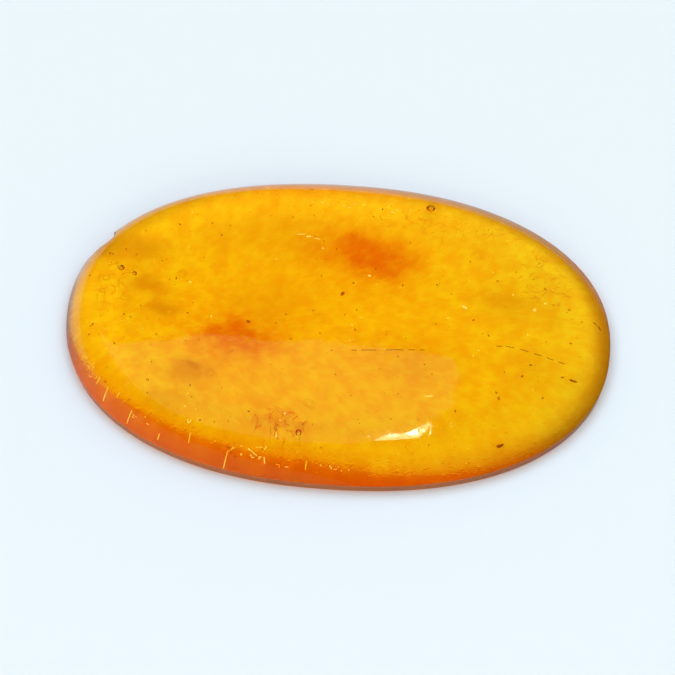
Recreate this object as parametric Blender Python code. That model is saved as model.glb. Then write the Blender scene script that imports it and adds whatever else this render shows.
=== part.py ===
"""Amber stone: a polished oval cabochon of fossil resin that lies on its flat ground base.

Metres, +Z up. The origin is the centre of the flat base, and the long axis runs along X.
The stone is one closed solid. Its rim is a superellipse with a little hand-cut unevenness, and
its section runs from the flat base, round a narrow bevel, up a low wall to a ridge, where the
stone is widest, and over a rounded shoulder to a low dome. The dome leans, so the shoulder is
higher on one side, and it slopes more gently on another. A small chip with two scoops is broken
out of the rim at one end.
"""

import math

import bmesh
import bpy
from mathutils import Vector, noise

MM = 0.001

# Driving dimensions
LENGTH = 30.0 * MM
WIDTH = 20.25 * MM
BEVEL_WIDTH = 0.35 * MM  # how far in from the ridge the flat base starts
WALL_FOOT = 0.15 * MM  # height of the bevel, where the wall starts
WALL_LEAN = 0.10 * MM  # how far in the wall's foot is from the ridge
RIDGE_HEIGHT = 0.70 * MM  # where the stone is widest
SHOULDER_HEIGHT = 1.15 * MM  # rise of the rounded shoulder above the ridge
SHOULDER_WIDTH = 2.1 * MM  # how far in from the ridge the shoulder reaches
DOME_HEIGHT = 1.2 * MM  # rise of the dome from the rim to the middle

# The dome leans, so the stone is thicker on one side. Bearings are in degrees from +X
LEAN = 3.2  # degrees
LEAN_BEARING = -118.0  # of the thicker side

# The side where the shoulder slopes gently, and how much wider it is there
GENTLE_BEARING = -40.0
GENTLE_SPREAD = 2.2 * MM
GENTLE_POWER = 4  # a higher power keeps the gentle part shorter

RIM_POWER = 2.2  # of the oval: 2 is an ellipse, and a higher one is squarer
SHOULDER_POWER = 3.0  # a higher one makes the shoulder steeper at the ridge

# Unevenness of the hand-cut rim: waves per turn, with the cosine and sine shares of the radius
RIM_WAVES = {2: (0.0020, -0.0052), 4: (-0.0007, -0.0026)}

# Unevenness of the hand-polished dome
POLISH_DEPTH = 0.03 * MM
POLISH_SPACING = 6.0 * MM

# The chip: two scoops out of the rim, each with its bearing in degrees from +X, its radius, and
# how far in from the ridge it reaches. They are taller than they are wide
CHIP_SCOOPS = (
    {"bearing": 159.9, "radius": 2.2 * MM, "depth": 0.52 * MM},
    {"bearing": 160.2, "radius": 0.9 * MM, "depth": 0.80 * MM},
)
CHIP_HEIGHT = 1.5 * MM  # of the scoops' middles
CHIP_STRETCH = 2.4  # height of a scoop for its width

# Mesh resolution
COLUMNS = 132
BASE_ROWS = 5
BEVEL_ROWS = 3
SHOULDER_ROWS = 12
DOME_ROWS = 8
CHIP_SUBDIVISIONS = 4

AMBER_COLOUR = (0.92, 0.42, 0.02, 1.0)
AMBER_ROUGHNESS = 0.04
AMBER_IOR = 1.54


def clear_scene():
    for item in list(bpy.data.objects):
        bpy.data.objects.remove(item)


def amber_material():
    material = bpy.data.materials.new("amber")
    material.use_nodes = True
    surface = material.node_tree.nodes["Principled BSDF"]
    surface.inputs["Base Color"].default_value = AMBER_COLOUR
    surface.inputs["Roughness"].default_value = AMBER_ROUGHNESS
    surface.inputs["Metallic"].default_value = 0.0
    surface.inputs["IOR"].default_value = AMBER_IOR
    surface.inputs["Transmission Weight"].default_value = 1.0
    return material


def rim_radius(bearing):
    """Distance from the middle to the ridge at a bearing, in radians from +X."""
    along = abs(math.cos(bearing)) / (LENGTH / 2)
    across = abs(math.sin(bearing)) / (WIDTH / 2)
    oval = (along**RIM_POWER + across**RIM_POWER) ** (-1 / RIM_POWER)
    waves = sum(c * math.cos(n * bearing) + s * math.sin(n * bearing) for n, (c, s) in RIM_WAVES.items())
    return oval * (1 + waves)


def column_bearings():
    """Bearings of the mesh columns, spread evenly along the oval rim."""
    turns = (2 * math.pi * column / COLUMNS for column in range(COLUMNS))
    return [math.atan2(WIDTH * math.sin(turn), LENGTH * math.cos(turn)) for turn in turns]


def gentleness(bearing):
    """1 on the gentle side, falling smoothly to 0 a quarter turn away from it."""
    return max(0.0, math.cos(bearing - math.radians(GENTLE_BEARING))) ** GENTLE_POWER


def lean_height(x, y):
    """How much the lean raises the top at a place: up on the thicker side, down opposite."""
    bearing = math.radians(LEAN_BEARING)
    return math.tan(math.radians(LEAN)) * (x * math.cos(bearing) + y * math.sin(bearing))


def dome_height(x, y, share):
    """Rise of the dome at a share of the way out from the middle to the rim."""
    polish = POLISH_DEPTH * noise.noise(Vector((x, y, 0)) / POLISH_SPACING)
    return DOME_HEIGHT * (1 - share**2) + polish * (1 - share**4)


def under_profile(rim):
    """(radius, height) from near the middle of the base, out round the bevel and up to the ridge."""
    flat = rim - BEVEL_WIDTH
    base = [(flat * row / BASE_ROWS, 0.0) for row in range(1, BASE_ROWS)]
    bevel = []
    for row in range(BEVEL_ROWS + 1):
        turn = math.pi / 2 * row / BEVEL_ROWS
        radius = flat + (BEVEL_WIDTH - WALL_LEAN) * math.sin(turn)
        bevel.append((radius, WALL_FOOT * (1 - math.cos(turn))))
    return base + bevel + [(rim, RIDGE_HEIGHT)]


def top_profile(rim, width):
    """(radius, share of the shoulder's rise) from just above the ridge to near the middle."""
    shoulder = []
    for row in range(1, SHOULDER_ROWS + 1):
        inward = row / SHOULDER_ROWS
        shoulder.append((rim - width * inward, 1 - (1 - inward) ** SHOULDER_POWER))
    dome = [((rim - width) * (1 - row / DOME_ROWS), 1.0) for row in range(1, DOME_ROWS)]
    return shoulder + dome


def section(bearing):
    """The stone's section at a bearing, as points from the base out to the ridge and up the dome."""
    rim = rim_radius(bearing)
    width = SHOULDER_WIDTH + GENTLE_SPREAD * gentleness(bearing)
    c, s = math.cos(bearing), math.sin(bearing)
    points = [(radius * c, radius * s, height) for radius, height in under_profile(rim)]
    for radius, share in top_profile(rim, width):
        x, y = radius * c, radius * s
        rise = share * (SHOULDER_HEIGHT + lean_height(x, y))
        points.append((x, y, RIDGE_HEIGHT + rise + dome_height(x, y, radius / rim)))
    return points


def join_rings(mesh, lower, upper):
    for i in range(COLUMNS):
        j = (i + 1) % COLUMNS
        mesh.faces.new((lower[i], lower[j], upper[j], upper[i]))


def close_ring(mesh, ring, height, facing_up):
    """Triangles from a ring to a point on the Z axis."""
    middle = mesh.verts.new((0, 0, height))
    for i in range(COLUMNS):
        pair = (ring[i], ring[(i + 1) % COLUMNS])
        mesh.faces.new((*pair, middle) if facing_up else (*pair[::-1], middle))


def new_object(name, mesh):
    data = bpy.data.meshes.new(name)
    mesh.to_mesh(data)
    mesh.free()
    item = bpy.data.objects.new(name, data)
    bpy.context.scene.collection.objects.link(item)
    return item


def build_stone():
    mesh = bmesh.new()
    columns = [[mesh.verts.new(point) for point in section(bearing)] for bearing in column_bearings()]
    rings = list(zip(*columns))
    for lower, upper in zip(rings, rings[1:]):
        join_rings(mesh, lower, upper)
    close_ring(mesh, rings[0], 0.0, facing_up=False)
    apex = RIDGE_HEIGHT + SHOULDER_HEIGHT + dome_height(0, 0, 0)
    close_ring(mesh, rings[-1], apex, facing_up=True)
    stone = new_object("amber_stone", mesh)
    stone.data.materials.append(amber_material())
    stone.data.shade_smooth()
    return stone


def chip_cutter(name, bearing, radius, depth):
    """A tall ball outside the rim that bites into it by the given depth."""
    mesh = bmesh.new()
    bmesh.ops.create_icosphere(mesh, subdivisions=CHIP_SUBDIVISIONS, radius=radius)
    cutter = new_object(name, mesh)
    angle = math.radians(bearing)
    reach = rim_radius(angle) - depth + radius
    cutter.location = (reach * math.cos(angle), reach * math.sin(angle), CHIP_HEIGHT)
    cutter.scale.z = CHIP_STRETCH
    cutter.hide_render = True
    cutter.display_type = "WIRE"
    return cutter


def chip_rim(stone):
    for number, shape in enumerate(CHIP_SCOOPS, 1):
        cut = stone.modifiers.new(f"chip_scoop_{number}", "BOOLEAN")
        cut.operation = "DIFFERENCE"
        cut.object = chip_cutter(f"chip_cutter_{number}", **shape)


clear_scene()
chip_rim(build_stone())
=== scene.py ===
# %% [markdown]
# # A polished amber stone
#
# The object is one piece of fossil tree resin, cut to an oval and polished by hand until it is
# clear. It lies on a flat ground base. Nearly everything that makes it look like amber happens
# inside it: light goes in through the dome, loses its blue on the way, meets the white table
# through the base and comes back. So the lesson is mostly about one closed shape with the right
# curve, a see-through material with the right depth, and the small things shut in the resin.
#
# The imported CAD model comes first. Its pieces are kept, and its stone is hidden once the finished
# stone takes its place.

# %% Load the frame
import math
import random

import bpy
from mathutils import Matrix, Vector

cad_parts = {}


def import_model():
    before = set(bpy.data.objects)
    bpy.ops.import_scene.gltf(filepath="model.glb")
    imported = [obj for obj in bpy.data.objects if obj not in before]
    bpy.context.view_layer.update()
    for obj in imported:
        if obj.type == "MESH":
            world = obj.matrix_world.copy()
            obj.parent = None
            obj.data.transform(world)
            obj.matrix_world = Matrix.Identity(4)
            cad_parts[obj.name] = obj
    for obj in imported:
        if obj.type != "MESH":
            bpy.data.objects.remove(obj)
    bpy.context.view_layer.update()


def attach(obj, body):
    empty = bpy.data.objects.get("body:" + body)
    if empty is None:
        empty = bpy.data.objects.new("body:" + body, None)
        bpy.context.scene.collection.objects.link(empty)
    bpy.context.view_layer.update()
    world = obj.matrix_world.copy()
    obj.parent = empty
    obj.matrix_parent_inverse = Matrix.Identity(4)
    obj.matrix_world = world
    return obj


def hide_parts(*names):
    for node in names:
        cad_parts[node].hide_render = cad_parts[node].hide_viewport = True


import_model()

MM = 0.001
STONE_NODE = "amber_stone"
scene = bpy.context.scene

# %% [markdown]
# Both the shape and the finishes are made with nodes. Written out one call at a time, a node
# tree is long and hard to read, so one small class wraps a node's output. A sum of two wires
# adds a Math node, so a formula here looks like one in a book, and node() adds any other node.

# %% A wire between nodes
def sums(operation):
    """What a sum does with the wire before its sign, and what it does with the wire after it."""
    def before(wire, other):
        return wire.maths(operation, wire, other)

    def after(wire, other):
        return wire.maths(operation, other, wire)

    return before, after


class Wire:
    """A node's output, with sums and other ways to add the next node."""

    def __init__(self, tree, socket=None):
        self.tree = tree
        self.socket = socket

    def node(self, kind, settings=None, values=None, output=0):
        """Add a node: its settings first, then the value or wire of each socket that is named."""
        made = self.tree.nodes.new(kind)
        for name, setting in (settings or {}).items():
            if name == "stops":
                place_stops(made.color_ramp, setting)
            else:
                setattr(made, name, setting)
        feed(made.inputs, values or {})
        return Wire(self.tree, made.outputs[output] if made.outputs else None)

    def out(self, name):
        """Another output of the same node."""
        return Wire(self.tree, self.socket.node.outputs[name])

    def maths(self, operation, *values):
        return self.node("ShaderNodeMath", {"operation": operation}, dict(enumerate(values)))

    def xyz(self):
        """The three parts of a vector."""
        split = self.node("ShaderNodeSeparateXYZ", values={0: self})
        return split, split.out("Y"), split.out("Z")

    def share(self, low, high, smooth=False):
        """0 up to low, 1 from high on, and a straight or smooth rise between them."""
        settings = {"interpolation_type": "SMOOTHSTEP" if smooth else "LINEAR"}
        values = {"Value": self, "From Min": low, "From Max": high}
        return self.node("ShaderNodeMapRange", settings, values)

    def vector(self, operation, other=(0, 0, 0), output=0):
        """A sum of two vectors, or a measure of one."""
        values = {0: self, 1: other}
        return self.node("ShaderNodeVectorMath", {"operation": operation}, values, output)

    def scaled(self, factor):
        """A vector made longer or shorter."""
        return self.node("ShaderNodeVectorMath", {"operation": "SCALE"}, {0: self, "Scale": factor})

    def cos(self):
        return self.maths("COSINE", self)

    def sin(self):
        return self.maths("SINE", self)

    __add__, __radd__ = sums("ADD")
    __sub__, __rsub__ = sums("SUBTRACT")
    __mul__, __rmul__ = sums("MULTIPLY")
    __truediv__, _ = sums("DIVIDE")
    __pow__, _ = sums("POWER")

    def __abs__(self):
        return self.maths("ABSOLUTE", self)


def feed(inputs, values):
    """Link each wire to the socket it is named for, and write each plain value there."""
    for name, value in values.items():
        if isinstance(value, Wire):
            value.tree.links.new(value.socket, inputs[name])
        else:
            inputs[name].default_value = value


def point(x, y, z=0.0):
    """A vector of wires or numbers, of which the first is a wire."""
    return x.node("ShaderNodeCombineXYZ", values={0: x, 1: y, 2: z})


def place_stops(ramp, stops):
    """Give a colour ramp its stops, as (place, colour)."""
    while len(ramp.elements) > 1:
        ramp.elements.remove(ramp.elements[-1])
    for number, (place, colour) in enumerate(stops):
        stop = ramp.elements[0] if number == 0 else ramp.elements.new(place)
        stop.position = place
        stop.color = (*colour, 1.0)


# %% [markdown]
# A Geometry Nodes tree is a small factory: sizes go in at one end and a shape comes out at the
# other. Each tree here has named inputs, so that it can be used again with other sizes, and ends
# by making its copies real and giving them a material. The result is then turned into a plain
# mesh, because an exported model can't run the factory again.

# %% Shape trees and how they are run
def start_tree(name, **inputs):
    """A tree with a start shape, a result, and an input of the given kind for each name."""
    tree = bpy.data.node_groups.new(name, "GeometryNodeTree")
    add = tree.interface.new_socket
    add("Result", in_out="OUTPUT", socket_type="NodeSocketGeometry")
    add("Start", in_out="INPUT", socket_type="NodeSocketGeometry")
    for label, kind in inputs.items():
        add(label, in_out="INPUT", socket_type=f"NodeSocket{kind}")
    return Wire(tree).node("NodeGroupInput")


def end_tree(shape, material):
    """Make the copies real, give them their material and hand the shape out of the tree."""
    real = shape.node("GeometryNodeRealizeInstances", values={0: shape})
    finished = real.node("GeometryNodeSetMaterial", values={"Geometry": real, "Material": material})
    finished.node("NodeGroupOutput", values={0: finished})
    return finished.tree


def run_tree(tree, name, start=None, **inputs):
    """Run a tree on a start mesh and keep the result as a new piece with a plain mesh."""
    piece = bpy.data.objects.new(name, start or bpy.data.meshes.new(name))
    scene.collection.objects.link(piece)
    modifier = piece.modifiers.new(name, "NODES")
    modifier.node_group = tree
    for socket in tree.interface.items_tree:
        if socket.name in inputs:
            modifier[socket.identifier] = inputs[socket.name]
    depsgraph = bpy.context.evaluated_depsgraph_get()
    mesh = bpy.data.meshes.new_from_object(piece.evaluated_get(depsgraph), depsgraph=depsgraph)
    piece.modifiers.remove(modifier)
    piece.data = mesh
    mesh.name = name
    mesh.calc_loop_triangles()
    size = tuple(round(side / MM, 2) for side in piece.dimensions)
    print(f"{name}: {len(mesh.loop_triangles)} triangles, {size} mm")
    return piece


# %% [markdown]
# The outline isn't an ellipse. A stone that is cut by eye comes out a little squarer, which a
# superellipse gives: the same formula as an ellipse with a power of 2.2 in place of 2. A few
# slow waves round the rim stand for the unevenness of the hand.

# %% The oval rim
LENGTH = 30.0 * MM
WIDTH = 20.25 * MM
RIM_POWER = 2.2
RIM_WAVES = {2: (0.0020, -0.0052), 4: (-0.0007, -0.0026)}  # waves per turn: cosine and sine share
print(f"rim: {LENGTH / MM:.2f} x {WIDTH / MM:.2f} mm")


def rim_radius(bearing, length, width):
    """Distance from the middle to the widest part of the stone at a bearing."""
    along = abs(bearing.cos()) / (length / 2)
    across = abs(bearing.sin()) / (width / 2)
    oval = (along**RIM_POWER + across**RIM_POWER) ** (-1 / RIM_POWER)
    waves = 1.0
    for count, (cosine, sine) in RIM_WAVES.items():
        turn = bearing * count
        waves = waves + turn.cos() * cosine + turn.sin() * sine
    return oval * waves


# %% [markdown]
# The section is what makes the light behave. From the flat base it goes round a narrow bevel and
# up a low wall to a ridge, where the stone is widest, then over a rounded shoulder and up a very
# low dome. The dome leans a little, so the front edge is thicker, and the shoulder is gentler on
# the right. Where the shoulder is steeper than about 50 degrees the base works as a mirror and
# the edge glows dark orange, so the heights of the ridge and the shoulder show at once.

# %% The section through the stone
SECTION = {
    "Ridge height": 0.70 * MM,
    "Wall foot": 0.15 * MM,
    "Wall lean": 0.10 * MM,
    "Bevel width": 0.35 * MM,
    "Shoulder height": 1.15 * MM,
    "Shoulder width": 2.1 * MM,
    "Gentle spread": 2.2 * MM,
    "Dome height": 1.2 * MM,
}
SHOULDER_POWER = 3.0
LEAN = math.tan(math.radians(3.2))
LEAN_BEARING = math.radians(-118)  # of the thicker side
GENTLE_BEARING = math.radians(-40)
GENTLE_POWER = 4  # a higher power keeps the gentle part shorter
POLISH_DEPTH = 0.03 * MM
POLISH_SPACING = 6.0 * MM
BASE_END, BEVEL_END, WALL_END, SHOULDER_END = 0.08, 0.14, 0.20, 0.60  # shares of the rows
print("section in mm:", {name: round(size / MM, 2) for name, size in SECTION.items()})


def section_point(row, bearing, rim, size):
    """The point at a share of the way from the middle of the base to the top of the dome."""
    bevel = row.share(BASE_END, BEVEL_END) * (math.pi / 2)
    wall = row.share(BEVEL_END, WALL_END)
    shoulder = row.share(WALL_END, SHOULDER_END)
    width = size("Shoulder width") + size("Gentle spread") * gentleness(bearing)
    foot = size("Bevel width") - (size("Bevel width") - size("Wall lean")) * bevel.sin()
    radius = (rim - foot + size("Wall lean") * wall) * row.share(0.0, BASE_END)
    radius = (radius - width * shoulder) * (1 - row.share(SHOULDER_END, 1.0))
    x, y = radius * bearing.cos(), radius * bearing.sin()
    lean = (x * math.cos(LEAN_BEARING) + y * math.sin(LEAN_BEARING)) * LEAN
    side = size("Wall foot") * (1 - bevel.cos()) + (size("Ridge height") - size("Wall foot")) * wall
    rise = (size("Shoulder height") + lean) * (1 - (1 - shoulder) ** SHOULDER_POWER)
    top_side = row.maths("GREATER_THAN", row, WALL_END)
    height = side + rise + dome(x, y, radius / rim, size) * top_side
    return point(x, y, height)


def gentleness(bearing):
    """1 on the side where the shoulder is gentle, falling to 0 a quarter turn away."""
    facing = (bearing - GENTLE_BEARING).cos()
    return facing.maths("MAXIMUM", facing, 0.0) ** GENTLE_POWER


def noise(place, spacing, detail=2.0, roughness=0.5):
    """Soft noise with blotches of about the spacing, from 0 to 1."""
    values = {"Scale": 1 / spacing, "Detail": detail, "Roughness": roughness}
    return place.node("ShaderNodeTexNoise", values={"Vector": place, **values})


def dome(x, y, out, size):
    """Rise of the dome, with the slight waviness that polishing by hand leaves."""
    polish = (noise(point(x, y), POLISH_SPACING) - 0.5) * (2 * POLISH_DEPTH)
    return size("Dome height") * (1 - out**2) + polish * (1 - out**4)


# %% [markdown]
# One corner of the rim is chipped. Amber breaks like glass, in shell-shaped scoops with fine
# ripples, so the chip is cut with two tall balls that only just reach into the edge. Their skin
# is rippled before the cut, and the cut takes the ripples over.

# %% Cutters for the chip
CHIP_BREAKS = (  # bearing in degrees, how far out the middle of the ball is, and its radius
    {"bearing": 159.9, "reach": 16.17 * MM, "radius": 2.2 * MM},
    {"bearing": 160.2, "reach": 14.60 * MM, "radius": 0.9 * MM},
)
CHIP_HEIGHT = 1.5 * MM
CHIP_STRETCH = 2.4
CHIP_ROUGHNESS = 0.10 * MM
CHIP_GRAIN = 0.55 * MM
CHIP_SUBDIVISIONS = 5


def rippled(shape, spacing, depth):
    """Push a shape's skin in and out by a fine noise."""
    waves = noise(shape.node("GeometryNodeInputPosition"), spacing)
    push = shape.node("GeometryNodeInputNormal").scaled((waves - 0.5) * depth)
    return shape.node("GeometryNodeSetPosition", values={"Geometry": shape, "Offset": push})


def chip_cutter(entry, bearing, reach, radius):
    """A tall rippled ball whose inner side bites into the rim."""
    angle = math.radians(bearing)
    middle = (reach * math.cos(angle), reach * math.sin(angle), CHIP_HEIGHT)
    round_ball = ball(entry, radius, CHIP_SUBDIVISIONS)
    values = {"Geometry": round_ball, "Translation": middle, "Scale": (1, 1, CHIP_STRETCH)}
    tall = entry.node("GeometryNodeTransform", values=values)
    return rippled(tall, CHIP_GRAIN, CHIP_ROUGHNESS)


def ball(wire, radius, subdivisions):
    values = {"Radius": radius, "Subdivisions": subdivisions}
    return wire.node("GeometryNodeMeshIcoSphere", values=values)


CUT = {"operation": "DIFFERENCE", "solver": "EXACT"}


def cut_away(shape, cutters):
    for cutter in cutters:
        values = {"Mesh 1": shape, "Mesh 2": cutter}
        shape = shape.node("GeometryNodeMeshBoolean", CUT, values)
    return shape


print("the chip is", len(CHIP_BREAKS), "scoops")

# %% [markdown]
# A gas bubble in resin is a hole, not a ball of something. So the bubbles are small spheres
# turned inside out and joined to the stone: their faces point into the gas, the resin ends
# there, and the light bends the right way all by itself and leaves a dark ring.

# %% Bubbles as hollows
BUBBLES = (  # x, y, height of the middle and diameter, in mm
    (4.45, 8.36, 1.05, 0.52),
    (-12.20, 2.47, 1.35, 0.38),
    (-11.43, 2.10, 1.41, 0.28),
    (-1.48, -7.58, 1.46, 0.36),
    (-9.95, -4.97, 1.55, 0.16),
    (-6.90, 5.03, 1.55, 0.14),
    (9.10, -4.27, 1.25, 0.14),
)
BUBBLE_SUBDIVISIONS = 4
UNIT_RADIUS = 0.5  # of a ball that is one unit wide
FOR_VECTORS = {"data_type": "FLOAT_VECTOR"}
print(len(BUBBLES), "bubbles")


def point_mesh(name, places, **attributes):
    """A mesh of loose points, each with a size or a turn of its own."""
    mesh = bpy.data.meshes.new(name)
    mesh.from_pydata(places, [], [])
    for label, vectors in attributes.items():
        field = mesh.attributes.new(label, "FLOAT_VECTOR", "POINT")
        field.data.foreach_set("vector", [part for vector in vectors for part in vector])
    return mesh


def bubble_points():
    places = [(x * MM, y * MM, z * MM) for x, y, z, _ in BUBBLES]
    sizes = [(size * MM,) * 3 for *_, size in BUBBLES]
    return point_mesh("bubbles", places, size=sizes)


def own_vector(wire, label):
    """The vector that each point carries under a name."""
    return wire.node("GeometryNodeInputNamedAttribute", FOR_VECTORS, {"Name": label})


def balls(points, subdivisions, **turn_and_scale):
    """A ball on each point, one unit wide before it is turned and scaled."""
    unit = ball(points, UNIT_RADIUS, subdivisions)
    values = {"Points": points, "Instance": unit, **turn_and_scale}
    copies = points.node("GeometryNodeInstanceOnPoints", values=values)
    return points.node("GeometryNodeRealizeInstances", values={0: copies})


def hollows(points):
    """Inside-out spheres, one at each point."""
    spheres = balls(points, BUBBLE_SUBDIVISIONS, Scale=own_vector(points, "size"))
    return points.node("GeometryNodeFlipFaces", values={0: spheres})


# %% [markdown]
# Now the stone itself. A flat grid is the whole skin unrolled: one side runs round the rim and
# the other runs from the middle of the base up to the top of the dome. Every point of the grid
# is moved to where the rim and section formulas put it, and the seam and the two poles are
# closed by merging the points that meet. A modelled cube with a subdivision surface would give
# a pebble too, but not this outline, and the light would show it.

# %% The tree that makes the stone
COLUMNS = 360
ROWS = 100
SEAM = 0.0005 * MM  # points nearer than this become one
CREASE = math.radians(32)  # an edge that turns by more than this is shaded sharp


def stone_tree():
    sizes = {label: "Float" for label in ("Length", "Width", *SECTION)}
    entry = start_tree("stone shape", Finish="Material", **sizes)
    grid = entry.node(
        "GeometryNodeMeshGrid",
        values={"Size X": 1.0, "Size Y": 1.0, "Vertices X": COLUMNS + 1, "Vertices Y": ROWS + 1},
    )
    across, up, _ = entry.node("GeometryNodeInputPosition").xyz()
    turn = (across + 0.5) * (2 * math.pi)
    length, width = entry.out("Length"), entry.out("Width")
    bearing = turn.maths("ARCTAN2", width * turn.sin(), length * turn.cos())
    place = section_point(up + 0.5, bearing, rim_radius(bearing, length, width), entry.out)
    skin = entry.node("GeometryNodeSetPosition", values={"Geometry": grid, "Position": place})
    closed = entry.node("GeometryNodeMergeByDistance", values={"Geometry": skin, "Distance": SEAM})
    chipped = cut_away(closed, [chip_cutter(entry, **shape) for shape in CHIP_BREAKS])
    solid = entry.node("GeometryNodeJoinGeometry", values={0: chipped})
    feed(solid.socket.node.inputs, {0: hollows(entry.out("Start"))})
    return end_tree(smooth_with_creases(solid), entry.out("Finish"))


def smooth_with_creases(shape):
    """Smooth shading, except over edges where the skin turns sharply."""
    smooth = shape.node("GeometryNodeSetShadeSmooth", values={"Geometry": shape})
    angle = shape.node("GeometryNodeInputMeshEdgeAngle")
    sharp = shape.maths("GREATER_THAN", angle, CREASE)
    values = {"Geometry": smooth, "Selection": sharp, "Shade Smooth": False}
    return shape.node("GeometryNodeSetShadeSmooth", {"domain": "EDGE"}, values)


# %% [markdown]
# Amber is see-through, so its colour has two parts. The tint works wherever light crosses the
# surface, and absorption works along the way through the resin: the longer the way, the more
# green and blue it loses. That is why the middle is yellow and the thick edge is orange. Both
# are plain numbers on their own sockets.
#
# What varies is painted into the tint: faint clouds, rust-coloured stains, and painted shade on the
# edge with bright streaks of painted light in it. The clouds and stains lie in the resin, so their
# pattern is read along the line of sight into the stone and shows on the base and on the dome at
# once.

# %% Patterns in the resin
SIGHT_SLOPE = 0.40  # how far a look into the resin moves back for each unit it goes down
OVAL = 1.8  # spots are this much longer than they are wide


def start_material(name):
    """A new material. Returns it, its first wire, and its Principled shader and output nodes."""
    material = bpy.data.materials.new(name)
    material.use_nodes = True
    nodes = material.node_tree.nodes
    return material, Wire(material.node_tree), nodes["Principled BSDF"], nodes["Material Output"]


def spots(place, *shapes):
    """Soft oval spots on top of each other, each as its strength, x, y and half length in mm."""
    stretched = place.vector("MULTIPLY", (1, OVAL, 1))
    total = 0.0
    for strength, x, y, size in shapes:
        inward = distance(stretched, x, y * OVAL).share(size * MM, 0.0, smooth=True)
        total = inward.maths("MULTIPLY_ADD", inward, strength, total)
    return total


def distance(place, x, y):
    return place.vector("DISTANCE", (x * MM, y * MM, 0.0), "Value")


def blend(amount, first, second):
    """Mix two colours by an amount from 0 to 1.

    The Mix node's sockets share names, so the colours go in by number, and come out at number 2.
    """
    values = {0: amount}
    for number, colour in {6: first, 7: second}.items():
        values[number] = colour if isinstance(colour, Wire) else (*colour, 1.0)
    return amount.node("ShaderNodeMix", {"data_type": "RGBA"}, values, 2)


# %% [markdown]
# The stains are iron-rich resin that has turned red-orange round a small core. Each one is a
# few overlapping soft ovals, and their edges are pulled about by noise, because nothing in
# resin has a clean outline.

# %% Stains and clouds
ORANGE_STAINS = (  # strength, x, y and half length in mm
    (0.60, 0.9, 5.30, 4.8), (0.50, 2.3, 4.70, 3.4), (0.40, 0.9, 5.60, 1.5),
    (0.60, -5.5, -1.00, 4.0), (0.50, -5.9, -0.70, 2.0), (0.30, -4.0, -1.60, 2.4),
    (0.30, -2.6, -6.32, 2.8),
)
BROWN_CLOUDS = (
    (0.70, -7.8, -3.52, 2.2), (0.70, -7.6, -3.12, 0.7), (0.80, -11.5, 4.38, 2.6),
    (0.80, -9.6, 0.38, 1.6), (0.80, -10.3, 1.58, 1.6), (0.45, 8.9, 2.68, 2.8),
    (0.35, -9.0, -5.52, 1.9), (0.15, 11.0, -1.72, 3.4), (0.30, -4.0, 1.08, 4.5),
    (0.30, -3.0, 6.20, 6.0), (0.25, 4.5, -1.82, 4.5), (0.50, -4.85, -0.92, 0.9),
    (0.50, 0.9, 5.60, 1.0),
)
FAINT_RINGS_AND_BUBBLE_SHADOW = (  # bubbles that were squeezed flat: x, y and radius in mm
    # the ring at 4.30, 7.53 is no squeezed bubble but a painted shadow under the bubble at 4.45,
    # 8.36
    (7.25, 5.63, 0.26), (-12.95, 2.28, 0.18), (-8.80, 2.78, 0.20), (4.30, 7.53, 0.20),
    (-6.60, -3.67, 0.22), (-1.05, -5.17, 0.22),
)
RING_WIDTH = 0.10 * MM
RING_STRENGTH = 0.5
print(len(ORANGE_STAINS), "orange spots and", len(BROWN_CLOUDS), "brown ones")


def skin_place(start):
    return start.node("ShaderNodeTexCoord", output="Object")


def sight_place(start):
    """Where a look from the front through this point of the skin meets the base."""
    x, y, z = skin_place(start).xyz()
    return point(x, y + z * SIGHT_SLOPE)


def pulled_about(place, reach, spacing):
    """The same place moved about by up to the reach, so that a pattern's edges wander."""
    colour = noise(place, spacing, detail=1.0).out("Color")
    push = colour.vector("SUBTRACT", (0.5, 0.5, 0.5)).scaled(2 * reach)
    return place.vector("ADD", push)


# Faint dark rings in the tint, one of them the painted shadow of a bubble
def rings(place):
    total = 0.0
    for x, y, radius in FAINT_RINGS_AND_BUBBLE_SHADOW:
        line = abs(distance(place, x, y) - radius * MM).share(RING_WIDTH, 0.0)
        total = line.maths("MULTIPLY_ADD", line, RING_STRENGTH, total)
    return total


# %% [markdown]
# The edge is darkened by painted shade. The front is painted deep orange, with fine bright streaks
# of painted light that run up and down its shoulder, and the rest of the rim is painted a little
# darker than the middle. The low wall has weathered, and its front is made darker still by painted
# shade.
# All of this is painted by how far in from the ridge and how high up a point of the skin is, so it
# follows the rim wherever that goes.

# %% The edge and the wall
# Of two numbers, the first is where something starts to show and the second where it is full
EDGE_BLOTCHES = 1.1 * MM  # spacing and reach of the noise that pulls the borders about
FRONT_TO_BACK, FRONT_TO_RIGHT = (1.0 * MM, -4.0 * MM), (9.0 * MM, 1.0 * MM)  # along Y and X
FRONT_DEPTH, RIM_DEPTH = (1.6 * MM, 0.7 * MM), (1.5 * MM, 0.4 * MM)  # in from the ridge
FRONT_STRENGTH, RIM_STRENGTH = 0.8, 0.7
STREAK_SPACING = 0.7 * MM
STREAK_SQUASH = 0.15  # of the pattern along its streaks, which makes them long
STREAK_SHARES = 0.51, 0.60  # of the noise
STREAK_FOOT, STREAK_TOP = (0.68 * MM, 0.75 * MM), (2.4 * MM, 1.5 * MM)
STREAKS_TO_BACK, STREAKS_TO_RIGHT = (2.0 * MM, -2.0 * MM), (9.0 * MM, 2.0 * MM)
MEAN_RADIUS = LENGTH * 0.42
WALL_FROM, WALL_TO = 0.04 * MM, 0.72 * MM
WALL_TURN = -2.0 * MM, 2.0 * MM  # from the front wall's tint to the far wall's
FRONT_WALL_SHADE_TINT = (0.22, 0.42, 0.09)
FAR_WALL_TINT = (0.48, 0.33, 0.04)


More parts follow.
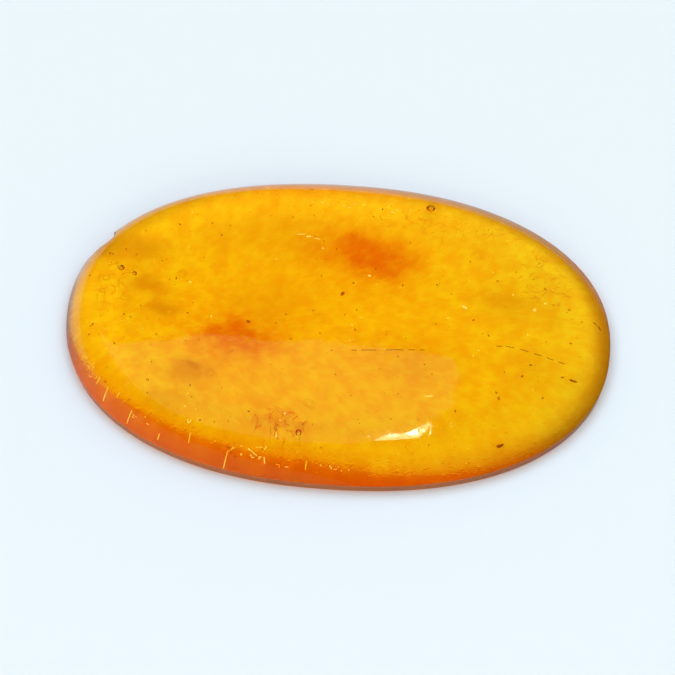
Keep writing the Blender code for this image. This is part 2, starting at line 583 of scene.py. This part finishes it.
def inward(start):
    """How far in from the ridge this point of the skin is, on a line to the middle."""
    x, y, _ = skin_place(start).xyz()
    radius = point(x, y).vector("LENGTH", output="Value")
    return rim_radius(x.maths("ARCTAN2", y, x), LENGTH, WIDTH) - radius


def edge_shade(start):
    """How much painted shade darkens the front edge, and the rest of the rim."""
    x, y, _ = skin_place(start).xyz()
    blotches = noise(skin_place(start), EDGE_BLOTCHES, detail=3.0, roughness=0.7) - 0.5
    depth = inward(start) + blotches * EDGE_BLOTCHES
    front = y.share(*FRONT_TO_BACK) * x.share(*FRONT_TO_RIGHT)
    shade = depth.share(*FRONT_DEPTH, smooth=True) * (FRONT_STRENGTH + blotches * 2)
    rim = depth.share(*RIM_DEPTH, smooth=True) * RIM_STRENGTH
    return shade * front, rim * (1 - front)


def painted_light_streaks(start):
    """Painted light: bright lines that run up and down the front shoulder, close together."""
    x, y, z = skin_place(start).xyz()
    bearing = x.maths("ARCTAN2", y * (LENGTH / WIDTH), x)
    unrolled = point(bearing * MEAN_RADIUS, z * STREAK_SQUASH)
    shoulder = z.share(*STREAK_FOOT) * z.share(*STREAK_TOP)
    shoulder = shoulder * y.share(*STREAKS_TO_BACK) * x.share(*STREAKS_TO_RIGHT)
    pattern = noise(unrolled, STREAK_SPACING, detail=2.0, roughness=0.75)
    return pattern.share(*STREAK_SHARES) * shoulder


def on_wall(height, full_from, full_to):
    """1 on the wall between two heights, falling to 0 in the bevel and above the ridge."""
    return height.share(WALL_FROM, full_from) * height.share(WALL_TO, full_to)


def weathered_and_shaded_wall(start):
    """Weathered orange behind, and brown in front, where painted shade darkens it."""
    _, y, _ = skin_place(start).xyz()
    return blend(y.share(*WALL_TURN), FRONT_WALL_SHADE_TINT, FAR_WALL_TINT)


# %% [markdown]
# The tints are laid on top of each other like glazes, and a later one covers an earlier one. The
# lowest is a fine grain of yellow and a deeper tone, for the grinding marks of the base.

# %% All the tints together
GRAIN_SPACING, CLOUD_SPACING = 0.8 * MM, 3.5 * MM
GRAIN_PART, CLOUD_PART = 0.75, 0.25
STAIN_REACH, STAIN_SPACING = 0.8 * MM, 1.6 * MM  # how far and how often the borders wander
YELLOW_TINT = (1.0, 0.91, 0.25)
DEEP_TINT = (0.965, 0.71, 0.17)
BROWN_TINT = (0.82, 0.54, 0.12)
ORANGE_TINT = (0.88, 0.40, 0.03)
FRONT_PAINTED_SHADE_TINT = (0.84, 0.48, 0.0)
RIM_PAINTED_SHADE_TINT = (0.78, 0.46, 0.06)
PAINTED_LIGHT_STREAK_TINT = (1.0, 0.95, 0.30)


def amber_tint(start):
    place = sight_place(start)
    wandering = pulled_about(place, STAIN_REACH, STAIN_SPACING)
    grain = noise(place, GRAIN_SPACING, detail=3.0, roughness=0.8).share(0.41, 0.59)
    clouds = noise(place, CLOUD_SPACING, detail=1.0).share(0.35, 0.75)
    colour = blend(grain * GRAIN_PART + clouds * CLOUD_PART, YELLOW_TINT, DEEP_TINT)
    colour = blend(spots(wandering, *BROWN_CLOUDS) + rings(place), colour, BROWN_TINT)
    colour = blend(spots(wandering, *ORANGE_STAINS) * (grain * 0.5 + 0.75), colour, ORANGE_TINT)
    front, rim = edge_shade(start)
    # painted shade darkens the front edge and the rest of the rim
    colour = blend(front, colour, FRONT_PAINTED_SHADE_TINT)
    colour = blend(rim, colour, RIM_PAINTED_SHADE_TINT)
    # painted light: bright streaks laid over the painted shade of the front
    colour = blend(painted_light_streaks(start), colour, PAINTED_LIGHT_STREAK_TINT)
    _, _, height = skin_place(start).xyz()
    # the wall is weathered, and its front is made darker by painted shade
    return blend(on_wall(height, 0.10 * MM, 0.66 * MM), colour, weathered_and_shaded_wall(start))


# %% [markdown]
# The skin is polished, but not perfectly: it has a very shallow waviness, a few pits, and a
# slightly frosted patch where the chip broke out. The wall and the ground base are duller than
# the dome. Roughness and a little bump carry these. They have to stay small, because everything
# inside is seen through them.

# %% The skin of the amber
CHIP_MIDDLE = (-13.35 * MM, 4.85 * MM, 1.2 * MM)
CHIP_REACH = 0.9 * MM, 1.3 * MM  # from its middle, where the frosting fades out
POLISHED = 0.03  # roughness of the dome
CHIPPED, GROUND, WEATHERED = 0.13, 0.15, 0.30  # what the chip, the base and the wall add to it
WAVE_SPACING, PIT_SPACING = 2.5 * MM, 0.30 * MM
WAVES, PITS = 2.4, 0.25  # their heights, in hundredths of a mm


def near_chip(start):
    """1 on the broken faces of the chip and 0 a little way off."""
    away = skin_place(start).vector("DISTANCE", CHIP_MIDDLE, "Value")
    return 1 - away.share(*CHIP_REACH)


def amber_skin(start):
    """Roughness and normal of the skin."""
    place = skin_place(start)
    _, _, height = place.xyz()
    base = height.share(0.05 * MM, 0.01 * MM)
    wall = on_wall(height, 0.08 * MM, 0.68 * MM)
    roughness = POLISHED + near_chip(start) * CHIPPED + base * GROUND + wall * WEATHERED
    pits = noise(place, PIT_SPACING, detail=1.0).share(0.60, 0.75)
    waves = noise(place, WAVE_SPACING, detail=0.0)
    relief = waves * WAVES - pits * PITS
    values = {"Height": relief, "Strength": 1.0, "Distance": 0.01 * MM}
    return roughness, start.node("ShaderNodeBump", values=values)


# %% [markdown]
# The patterns go to one Principled shader, and the absorption goes to the material's volume.
# Coloured glass without a volume would be simpler, but thin and thick parts would look the same.

# %% Put the amber together
AMBER_IOR = 1.54
ABSORPTION = (0.5, 72.0, 620.0)  # loss of red, green and blue for each metre of resin
SHINE_TINT = (1.0, 0.8, 0.15)


def amber_material():
    material, start, surface, output = start_material("amber")
    roughness, normal = amber_skin(start)
    feed(surface.inputs, {
        "IOR": AMBER_IOR,
        "Transmission Weight": 1.0,
        "Specular IOR Level": 0.25,
        "Specular Tint": (*SHINE_TINT, 1.0),
        "Base Color": amber_tint(start),
        "Roughness": roughness,
        "Normal": normal,
    })
    density = max(ABSORPTION)
    kept = (*(1 - loss / density for loss in ABSORPTION), 1.0)
    volume = start.node("ShaderNodeVolumeAbsorption", values={"Color": kept, "Density": density})
    feed(output.inputs, {"Volume": volume})
    return material


amber = amber_material()
stone = run_tree(
    stone_tree(), "stone", bubble_points(), Length=LENGTH, Width=WIDTH, Finish=amber, **SECTION
)

# %% [markdown]
# Things shut in the resin come next. Most are tiny lumps: crumbs of bark, dust, and small
# round stress cracks that throw the light back. One tree puts a lump on each point of a list,
# with the point's own size and turn, and then dents every lump a little differently.

# %% Lumps in the resin
LUMP_SUBDIVISIONS = 3
DENT_SPACING = 0.15 * MM


def lump_tree():
    entry = start_tree("lumps", Finish="Material", Dent="Float")
    points = entry.out("Start")
    turn, size = own_vector(points, "turn"), own_vector(points, "size")
    smooth_lumps = balls(points, LUMP_SUBDIVISIONS, Rotation=turn, Scale=size)
    dented = rippled(smooth_lumps, DENT_SPACING, entry.out("Dent"))
    smooth = entry.node("GeometryNodeSetShadeSmooth", values={"Geometry": dented})
    return end_tree(smooth, entry.out("Finish"))


LUMP_TREE = lump_tree()


def lumps(name, material, dent, shapes):
    """Lumps, each from its place and its three sizes in mm and its lean and turn in degrees."""
    places = [(x * MM, y * MM, z * MM) for (x, y, z), _, _ in shapes]
    sizes = [tuple(side * MM for side in size) for _, size, _ in shapes]
    turns = [(math.radians(lean), 0.0, math.radians(turn)) for _, _, (lean, turn) in shapes]
    start = point_mesh(name, places, size=sizes, turn=turns)
    return run_tree(LUMP_TREE, name, start, Finish=material, Dent=dent)


# %% [markdown]
# What is shut in needs only a plain finish, because the amber round it does the colouring. Its
# colour wanders between two tones, since one even tone would look like plastic.

# %% Simple finishes for what is shut in
TONE_SPACING = 0.12 * MM
SOFT_SHINE = 0.2


def grainy_material(name, light, dark, roughness=0.5, glow=0.0):
    """A plain finish whose colour wanders between two tones. A little glow is a painted highlight,
    for caught light.
    """
    material, start, surface, _ = start_material(name)
    colour = blend(noise(skin_place(start), TONE_SPACING).share(0.35, 0.65), light, dark)
    feed(surface.inputs, {
        "Base Color": colour,
        "Emission Color": colour,
        "Emission Strength": glow,
        "Roughness": roughness,
        "Specular IOR Level": SOFT_SHINE,
    })
    return material


bark = grainy_material("bark crumbs", (0.72, 0.34, 0.05), (0.42, 0.17, 0.02))
# its glow is a painted highlight, shared by the stress cracks, the bright dust and the scales
glint = grainy_material(
    "stress cracks with a painted glow", (1.0, 0.92, 0.45), (1.0, 0.80, 0.25), roughness=0.25, glow=0.6
)
crack_finish = grainy_material("hairlines", (0.55, 0.25, 0.04), (0.35, 0.14, 0.02))
print("finishes:", bark.name, glint.name, crack_finish.name, sep="; ")

# %% [markdown]
# The crumbs of bark are dark and few. Each is placed one by one, at the depth where it looks
# sharp from above, and none is round.

# %% Crumbs of bark
CRUMBS = (
    ((0.10, 1.55, 1.50), (0.28, 0.20, 0.16), (0, 60)),
    ((-4.26, -6.67, 1.80), (0.14, 0.10, 0.08), (0, 0)),
    ((9.36, -7.10, 1.20), (0.34, 0.20, 0.14), (0, 20)),
    ((9.54, -7.00, 1.20), (0.16, 0.12, 0.10), (0, 50)),
    ((13.00, -2.45, 0.90), (0.44, 0.12, 0.10), (0, -10)),
    ((12.40, -2.34, 0.90), (0.18, 0.10, 0.08), (0, 15)),
    ((10.69, -1.93, 1.20), (0.16, 0.10, 0.08), (0, 0)),
    ((10.27, -2.72, 1.20), (0.18, 0.10, 0.08), (0, 40)),
    ((14.25, 1.33, 0.80), (0.32, 0.08, 0.08), (0, -60)),
    ((13.95, 1.58, 0.80), (0.24, 0.08, 0.08), (0, -30)),
    ((-4.84, -0.91, 1.90), (0.24, 0.16, 0.12), (0, -30)),
    ((-11.99, -2.96, 2.20), (0.08, 0.08, 0.06), (0, 0)),
)
crumbs = lumps("bark_crumbs", bark, 0.10 * MM, CRUMBS)

# %% [markdown]
# Stress cracks are the bright ones. Real ones are paper-thin discs that catch the lamp. A mirror
# that small and thin would sparkle from one angle alone, so these are flat lumps just under the
# dome with a pale, half-glossy finish and a painted glow: a painted highlight for the lamp they
# catch.

# %% Stress cracks with a painted glow
GLINTS = (
    ((-2.08, 5.09, 2.38), (0.30, 0.14, 0.05), (20, 10)),
    ((-2.50, 5.22, 2.36), (0.50, 0.07, 0.04), (20, 5)),
    ((-1.60, 4.98, 2.38), (0.40, 0.06, 0.04), (20, -12)),
    ((6.88, 1.07, 2.33), (0.36, 0.14, 0.05), (10, -35)),
    ((1.52, 2.54, 2.63), (0.18, 0.14, 0.05), (10, 0)),
    ((-1.22, 4.28, 2.48), (0.10, 0.08, 0.04), (10, 0)),
    ((10.71, 1.55, 1.88), (0.20, 0.20, 0.05), (10, 0)),
    ((11.26, 2.11, 1.78), (0.14, 0.12, 0.05), (10, 0)),
    ((9.47, 2.40, 1.98), (0.10, 0.08, 0.04), (10, 0)),
    ((-2.27, -7.01, 2.68), (0.14, 0.12, 0.05), (20, 0)),
    ((-2.63, -8.25, 2.43), (0.06, 0.36, 0.05), (35, 0)),
    ((-8.26, 1.22, 2.68), (0.14, 0.10, 0.05), (10, 0)),
    ((5.42, -5.16, 2.64), (0.50, 0.06, 0.03), (10, 5)),
)
glints = lumps("stress_cracks", glint, 0.03 * MM, GLINTS)

# %% [markdown]
# Dust is too fine and too plentiful to place by hand. A tree scatters points over the dome,
# pushes each one into the resin by a depth of its own, and puts a small grain there. The same
# seed always gives the same dust.

# %% Dust scattered under the dome
DUST_FROM = 1.3 * MM  # height of the lowest skin that has dust under it
SHALLOWEST = 0.05 * MM
LONGEST = 2.2  # of a grain for its width
DUST_SUBDIVISIONS = 2


def dust_tree():
    sizes = {label: "Float" for label in ("Density", "Smallest", "Largest", "Deepest")}
    entry = start_tree("dust", Stone="Object", Finish="Material", Seed="Int", **sizes)
    values = {"Object": entry.out("Stone")}
    skin = entry.node("GeometryNodeObjectInfo", values=values, output="Geometry")
    _, _, height = entry.node("GeometryNodeInputPosition").xyz()
    values = {
        "Mesh": skin,
        "Selection": height.maths("GREATER_THAN", height, DUST_FROM),
        "Density": entry.out("Density"),
        "Seed": entry.out("Seed"),
    }
    points = entry.node("GeometryNodeDistributePointsOnFaces", values=values)
    depth = random_value(entry, SHALLOWEST, entry.out("Deepest"))
    push = points.out("Normal").scaled(depth * -1)
    sunk = entry.node("GeometryNodeSetPosition", values={"Geometry": points, "Offset": push})
    share = random_value(entry, 0.0, 1.0, seed=1) ** 3  # cubed, so that most grains are small
    size = entry.out("Smallest") + (entry.out("Largest") - entry.out("Smallest")) * share
    long_side = size * random_value(entry, 1.0, LONGEST, seed=2)
    turn = random_value(entry, 0.0, math.pi, seed=3)
    turn = entry.node("ShaderNodeCombineXYZ", values={"Z": turn})
    grains = balls(sunk, DUST_SUBDIVISIONS, Rotation=turn, Scale=point(long_side, size, size))
    return end_tree(grains, entry.out("Finish"))


def random_value(start, low, high, seed=0):
    """A random number for each point. The node's sockets share names, so they go by number."""
    values = {2: low, 3: high, 8: seed}
    return start.node("FunctionNodeRandomValue", {"data_type": "FLOAT"}, values, 1)


DUST_TREE = dust_tree()


def dust(name, material, **sizes):
    return run_tree(DUST_TREE, name, Stone=stone, Finish=material, **sizes)


PER_SQUARE_MM = 1e6
dust_finish = grainy_material("resin dust", (0.80, 0.42, 0.05), (0.55, 0.24, 0.02))
dark_dust = dust("dark_dust", dust_finish, Density=0.9 * PER_SQUARE_MM, Seed=4,
                 Smallest=0.03 * MM, Largest=0.10 * MM, Deepest=0.8 * MM)
# sparkles: grains that shine by the painted glow of the stress cracks' finish
bright_dust = dust("bright_dust", glint, Density=0.35 * PER_SQUARE_MM, Seed=9,
                   Smallest=0.02 * MM, Largest=0.07 * MM, Deepest=0.4 * MM)

# %% [markdown]
# Hairline cracks, crazing and the bright scales in the front edge follow the skin of the stone.
# The tree lays each line on the skin, sinks it a little, and sweeps a thin oval along it. Swept
# narrow and deep it is a crack seen end-on, and swept wide and thin it is a bright scale.

# %% Lines that follow the skin
LINE_POINTS = 12
LINE_SIDES = 6
TAPER = 0.6  # a lower power keeps a line thick nearer to its ends


def nearest(skin, field):
    """What a field says at the nearest place on the skin."""
    values = {"Mesh": skin, "Value": skin.node(field)}
    return skin.node("GeometryNodeSampleNearestSurface", FOR_VECTORS, values)


def line_tree():
    sizes = {label: "Float" for label in ("Width", "Depth", "Sink")}
    entry = start_tree("lines in the skin", Stone="Object", Finish="Material", **sizes)
    values = {"Object": entry.out("Stone")}
    skin = entry.node("GeometryNodeObjectInfo", values=values, output="Geometry")
    curve = entry.node("GeometryNodeMeshToCurve", values={"Mesh": entry.out("Start")})
    fine = entry.node("GeometryNodeResampleCurve", values={0: curve, "Count": LINE_POINTS})
    place = nearest(skin, "GeometryNodeInputPosition")
    push = nearest(skin, "GeometryNodeInputNormal").scaled(entry.out("Sink") * -1)
    values = {"Geometry": fine, "Position": place, "Offset": push}
    laid = entry.node("GeometryNodeSetPosition", values=values)
    along = entry.node("GeometryNodeSplineParameter")
    taper = (along * math.pi).sin() ** TAPER
    shaped = entry.node("GeometryNodeSetCurveRadius", values={"Curve": laid, "Radius": taper})
    upright = entry.node("GeometryNodeSetCurveNormal", {"mode": "Z_UP"}, {"Curve": shaped})
    values = {"Resolution": LINE_SIDES, "Radius": UNIT_RADIUS}
    circle = entry.node("GeometryNodeCurvePrimitiveCircle", values=values)
    size = point(entry.out("Width"), entry.out("Depth"), 1.0)
    oval = entry.node("GeometryNodeTransform", values={"Geometry": circle, "Scale": size})
    values = {"Curve": upright, "Profile Curve": oval, "Fill Caps": True}
    swept = entry.node("GeometryNodeCurveToMesh", values=values)
    smooth = entry.node("GeometryNodeSetShadeSmooth", values={"Geometry": swept})
    return end_tree(smooth, entry.out("Finish"))


LINE_TREE = line_tree()


def lines(name, material, width, depth, sink, paths):
    """Thin lines in the skin along paths of (x, y, z) in mm."""
    points = [tuple(part * MM for part in corner) for path in paths for corner in path]
    edges, first = [], 0
    for path in paths:
        edges += [(first + step, first + step + 1) for step in range(len(path) - 1)]
        first += len(path)
    start = bpy.data.meshes.new(name)
    start.from_pydata(points, edges, [])
    sizes = {"Width": width, "Depth": depth, "Sink": sink}
    return run_tree(LINE_TREE, name, start, Stone=stone, Finish=material, **sizes)


# %% [markdown]
# Two hairline cracks run across the stone, a straight one near the middle and a curved one on the
# right. They show only here and there, so each is a row of dashes.

# %% Hairline cracks
DASHES = ((0.99, 1.26), (1.51, 2.32), (2.85, 3.81), (4.03, 4.43), (4.68, 4.94))


def on_straight_crack(x):
    return (x, -2.76 + 0.13 * (x - 1), 2.9)


hairline_paths = [[on_straight_crack(x) for x in dash] for dash in DASHES]
CURVED_CRACK = (
    (8.8, -1.4), (9.3, -1.3), (10.1, -1.35), (10.9, -1.5),
    (11.6, -1.65), (12.3, -1.8), (12.9, -1.9),
)
hairline_paths += [  # each dash covers three fifths of a step
    [(*start, 2.2), (*[(a * 2 + b * 3) / 5 for a, b in zip(start, end)], 2.2)]
    for start, end in zip(CURVED_CRACK, CURVED_CRACK[1:])
]
hairlines = lines("hairline_cracks", crack_finish, 0.04 * MM, 0.08 * MM, 0.05 * MM, hairline_paths)

# %% [markdown]
# In four places the resin is finely cracked. One is just above the base in front, and the others
# are near the far rim and the ends, where the skin has crazed with age. Short lines in every
# direction do for them, drawn by a seeded random generator so that they are the same each time.

# %% Crazed places
CRAZED = (  # x, y and height in mm, half length and half width, and the number of cracks
    (-2.6, -6.5, 0.05, 1.5, 1.0, 46),
    (5.5, 7.0, 2.3, 4.5, 0.9, 60),
    (11.3, 3.6, 1.9, 1.6, 2.0, 44),
    (-12.6, 0.8, 2.2, 0.9, 2.2, 30),
)


def crack(draw, x, y, z, half_length, half_width, size=1.0):
    """One bent crack of three points, somewhere in an oval place."""
    turn, out = draw.uniform(0, 2 * math.pi), math.sqrt(draw.random())
    x += half_length * out * math.cos(turn)
    y += half_width * out * math.sin(turn)
    heading, reach = draw.uniform(0, math.pi), draw.uniform(0.08, 0.30) * size
    bend = heading + draw.uniform(-0.8, 0.8)
    ahead = (x + reach * math.cos(heading), y + reach * math.sin(heading), z)
    behind = (x - reach * math.cos(bend), y - reach * math.sin(bend), z)
    return [behind, (x, y, z), ahead]


draw = random.Random(12)
crazing = [crack(draw, *place) for *place, count in CRAZED for _ in range(count)]
rust = grainy_material("rusty cracks", (1.0, 0.60, 0.08), (0.92, 0.42, 0.05))
crazes = lines("crazing", rust, 0.020 * MM, 0.05 * MM, 0.06 * MM, crazing)

# %% [markdown]
# The front edge holds bright scales: thin flat cracks that run up and down. The clearest are
# listed one by one. The small flecks between them, near the far rim and at the chip come from the
# same generator as the crazing.

# %% Bright scales in the front edge
SCALES = (
    ((-13.9, -3.5, 2.05), (-13.85, -3.64, 1.75)),
    ((-12.70, -5.10, 2.05), (-12.96, -5.30, 1.65)),
    ((-12.20, -5.70, 2.05), (-12.45, -6.05, 1.15)),
    ((-11.50, -6.10, 2.25), (-11.65, -6.30, 1.95)),
    ((-10.70, -7.00, 1.85), (-10.95, -7.25, 0.95)),
    ((-9.05, -8.10, 1.45), (-9.15, -8.25, 1.05)),
    ((-7.35, -8.45, 2.25), (-7.40, -8.75, 1.65)),
    ((-5.24, -9.30, 1.85), (-5.40, -9.55, 0.75)),
    ((-4.08, -9.19, 2.25), (-3.60, -9.45, 1.95)),
    ((-3.20, -9.50, 1.95), (-3.15, -9.65, 1.55)),
    ((-0.88, -9.50, 1.95), (-0.92, -9.76, 1.45)),
)
FLECKED = (  # x, y and height in mm, half length and half width, and the number of flecks
    (-3.9, -8.75, 1.6, 1.5, 0.5, 18),
    (-0.6, -9.25, 1.3, 2.6, 0.3, 12),
    (-8.9, -7.10, 1.5, 2.0, 0.4, 8),
    (-12.9, -4.10, 1.5, 0.6, 0.9, 8),
    (0.9, 7.80, 2.0, 3.2, 0.3, 16),
    # at the chip: painted highlights on its rough broken faces
    (-13.2, 4.90, 1.1, 0.6, 0.3, 10),
)
FLECK_SIZE = 0.35  # of a crack's length
flecks = [crack(draw, *place, FLECK_SIZE) for *place, count in FLECKED for _ in range(count)]
# the scales and flecks shine by the stress cracks' painted glow
scales = lines("edge_scales", glint, 0.055 * MM, 0.03 * MM, 0.05 * MM, (*SCALES, *flecks))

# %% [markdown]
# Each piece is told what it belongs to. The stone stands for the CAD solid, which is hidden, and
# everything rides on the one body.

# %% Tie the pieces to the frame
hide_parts(STONE_NODE)
for piece in (stone, crumbs, glints, dark_dust, bright_dust, hairlines, crazes, scales):
    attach(piece, "root")
    print(piece.name, "rides on the root body")

# %% [markdown]
# The table is pale and slightly blue, with a painted pool of light, a white oval, right under the
# stone. It matters more than it seems, because most of the light that comes out of the stone has
# been on the table first.

# %% The table
TABLE_COLOUR = (0.82, 0.90, 0.97)
POOL_OF_LIGHT_COLOUR = (0.98, 0.98, 0.97)
POOL_OF_LIGHT_EDGE = 0.985, 0.93  # shares of the way to the rim: the white oval ends, and it is full
TABLE_SIZE = 0.9
TABLE_GAP = 0.02 * MM  # keeps the table off the base


def table_material():
    """Pale blue, with a painted pool of light, a white oval under the stone short of its rim."""
    material, start, surface, _ = start_material("table")
    place = skin_place(start)
    oval = place.vector("MULTIPLY", (2 / LENGTH, 2 / WIDTH, 0))
    out = oval.vector("LENGTH", output="Value")
    colour = blend(out.share(*POOL_OF_LIGHT_EDGE), TABLE_COLOUR, POOL_OF_LIGHT_COLOUR)
    values = {"Base Color": colour, "Roughness": 0.6, "Specular IOR Level": SOFT_SHINE}
    feed(surface.inputs, values)
    return material


def table():
    half = TABLE_SIZE / 2
    corners = [(-half, -half, 0), (half, -half, 0), (half, half, 0), (-half, half, 0)]
    mesh = bpy.data.meshes.new("table")
    mesh.from_pydata(corners, [], [(0, 1, 2, 3)])
    mesh.materials.append(table_material())
    piece = bpy.data.objects.new("table", mesh)
    piece.location.z = -TABLE_GAP
    scene.collection.objects.link(piece)
    return piece


table()
print(f"the table is {TABLE_SIZE} m wide")

# %% [markdown]
# Light decides how amber looks. A large lamp overhead and a smaller one in front light the table
# and, through it, the stone. The others are only there to be mirrored: soft panels on top of each
# other are the hazy veil on the left of the dome, and a small lamp beside them, with a wider
# glow round it, makes the bright spot. The room is warm and bright near the horizon, which is
# what the steep edge passes on, and dark overhead, which keeps the flat top clear. The pale
# backdrop is there for the camera alone.

# %% Lamps and room
def lamp(name, place, size, radiance, target=(0, 0, 0), mirrored=True, colour=(1, 1, 1), turn=0):
    """A soft panel whose face has the given brightness, aimed at the target and then turned."""
    light = bpy.data.lights.new(name, "AREA")
    light.shape = "RECTANGLE"
    light.size, light.size_y = size
    light.energy = math.pi * size[0] * size[1] * radiance
    light.color = colour
    item = bpy.data.objects.new(name, light)
    item.location = place
    item.rotation_euler = (Vector(target) - Vector(place)).to_track_quat("-Z", "Y").to_euler()
    item.rotation_euler.z += math.radians(turn)
    item.visible_glossy = mirrored
    item.visible_diffuse = item.visible_transmission = not mirrored
    scene.collection.objects.link(item)
    print(f"{name}: {light.energy:.3f} W")


def mirrored_lamp(name, place, size, radiance, colour, turn=0):
    """A lamp that faces straight down and shows only in what is polished."""
    lamp(name, (*place, MIRRORED_HEIGHT), size, radiance, (*place, 0), colour=colour, turn=turn)


def room(horizon, overhead, backdrop):
    """Warm and bright round the horizon and dark overhead, with a pale backdrop for the camera."""
    world = bpy.data.worlds.new("room")
    scene.world = world
    world.use_nodes = True
    start = Wire(world.node_tree)
    _, _, height = start.node("ShaderNodeTexCoord", output="Generated").xyz()
    stops = [(0.0, horizon), (0.45, horizon), (0.65, overhead)]  # the horizon itself is at 0.5
    warmth = start.node("ShaderNodeValToRGB", {"stops": stops}, {0: height})
    colour = blend(start.node("ShaderNodeLightPath"), warmth, backdrop)
    feed(world.node_tree.nodes["Background"].inputs, {"Color": colour})


MIRRORED_HEIGHT = 0.5
VEIL_EAST, VEIL_SOUTH = 0.076, -0.14  # edges that all of the veil's panels share
VEIL_STRENGTH = 1.35
VEIL_LAYERS = (  # west edge, north edge and brightness
    (-0.25, 0.34, 0.25), (-0.23, 0.29, 0.25), (-0.21, 0.22, 0.30),
    (-0.20, 0.14, 0.35), (-0.16, 0.04, 0.40), (-0.12, -0.04, 0.50), (-0.24, -0.11, 0.90),
)
VEIL_COLOUR = (0.7, 0.9, 4.5)
SPOT_COLOUR = (1, 1, 3)
DAYLIGHT = (1.03, 1.18, 1.33)
lamp("overhead panel", (0, 0, 0.55), (1.0, 1.0), 1.30, mirrored=False, colour=DAYLIGHT)
lamp("front panel", (0, -0.55, 0.3), (0.6, 0.3), 1.5, mirrored=False)
for west, north, radiance in VEIL_LAYERS:
    size = (VEIL_EAST - west, north - VEIL_SOUTH)
    middle = ((VEIL_EAST + west) / 2, (north + VEIL_SOUTH) / 2)
    mirrored_lamp("veil panel", middle, size, radiance * VEIL_STRENGTH, VEIL_COLOUR)
mirrored_lamp("small lamp", (0.0835, 0.005), (0.012, 0.08), 55, SPOT_COLOUR, turn=12)
mirrored_lamp("glow of the lamp", (0.078, 0.02), (0.030, 0.20), 9, SPOT_COLOUR, turn=8)
room(horizon=(0.80, 0.52, 0.03), overhead=(0.04, 0.04, 0.04), backdrop=(0.80, 0.87, 0.90))

# %% [markdown]
# The camera stands in front of the stone and looks down at it from well above, through a long
# lens, so that the oval keeps its shape.

# %% The camera
CAMERA_AZIMUTH = math.radians(5.0)
CAMERA_ELEVATION = math.radians(55.0)
FRAME_WIDTH = 37.1 * MM
FRAME_PIXELS = 675
LENS, SENSOR = 300.0, 36.0
AIM_HEIGHT = 1.8 * MM
AIM_LEFT, AIM_DOWN = 0.45, 16.7  # pixels from the point at that height


def camera():
    level = math.cos(CAMERA_ELEVATION)
    back = Vector((
        math.sin(CAMERA_AZIMUTH) * level,
        -math.cos(CAMERA_AZIMUTH) * level,
        math.sin(CAMERA_ELEVATION),
    ))
    right = Vector((math.cos(CAMERA_AZIMUTH), math.sin(CAMERA_AZIMUTH), 0))
    up = back.cross(right)
    pixel = FRAME_WIDTH / FRAME_PIXELS
    target = Vector((0, 0, AIM_HEIGHT)) - right * (AIM_LEFT * pixel) - up * (AIM_DOWN * pixel)
    data = bpy.data.cameras.new("camera")
    data.lens, data.sensor_width = LENS, SENSOR
    data.clip_start = 1.0 * MM
    item = bpy.data.objects.new("camera", data)
    item.location = target + back * (FRAME_WIDTH * LENS / SENSOR)
    item.rotation_mode = "QUATERNION"
    item.rotation_quaternion = (-back).to_track_quat("-Z", "Y")
    scene.collection.objects.link(item)
    return item


scene.camera = camera()
print("camera at", tuple(round(side, 3) for side in scene.camera.location), "m")

# %% [markdown]
# Light in amber bounces many times before it leaves, so the paths may be long, and glossy light
# isn't blurred, because that would leave the table under the stone dark.

# %% How far light is followed
scene.view_settings.view_transform = "Standard"
scene.cycles.blur_glossy = 0.0
scene.cycles.max_bounces = 14
scene.cycles.transmission_bounces = 14
scene.cycles.diffuse_bounces = 4
scene.cycles.glossy_bounces = 8
print("light is followed for up to", scene.cycles.max_bounces, "bounces")
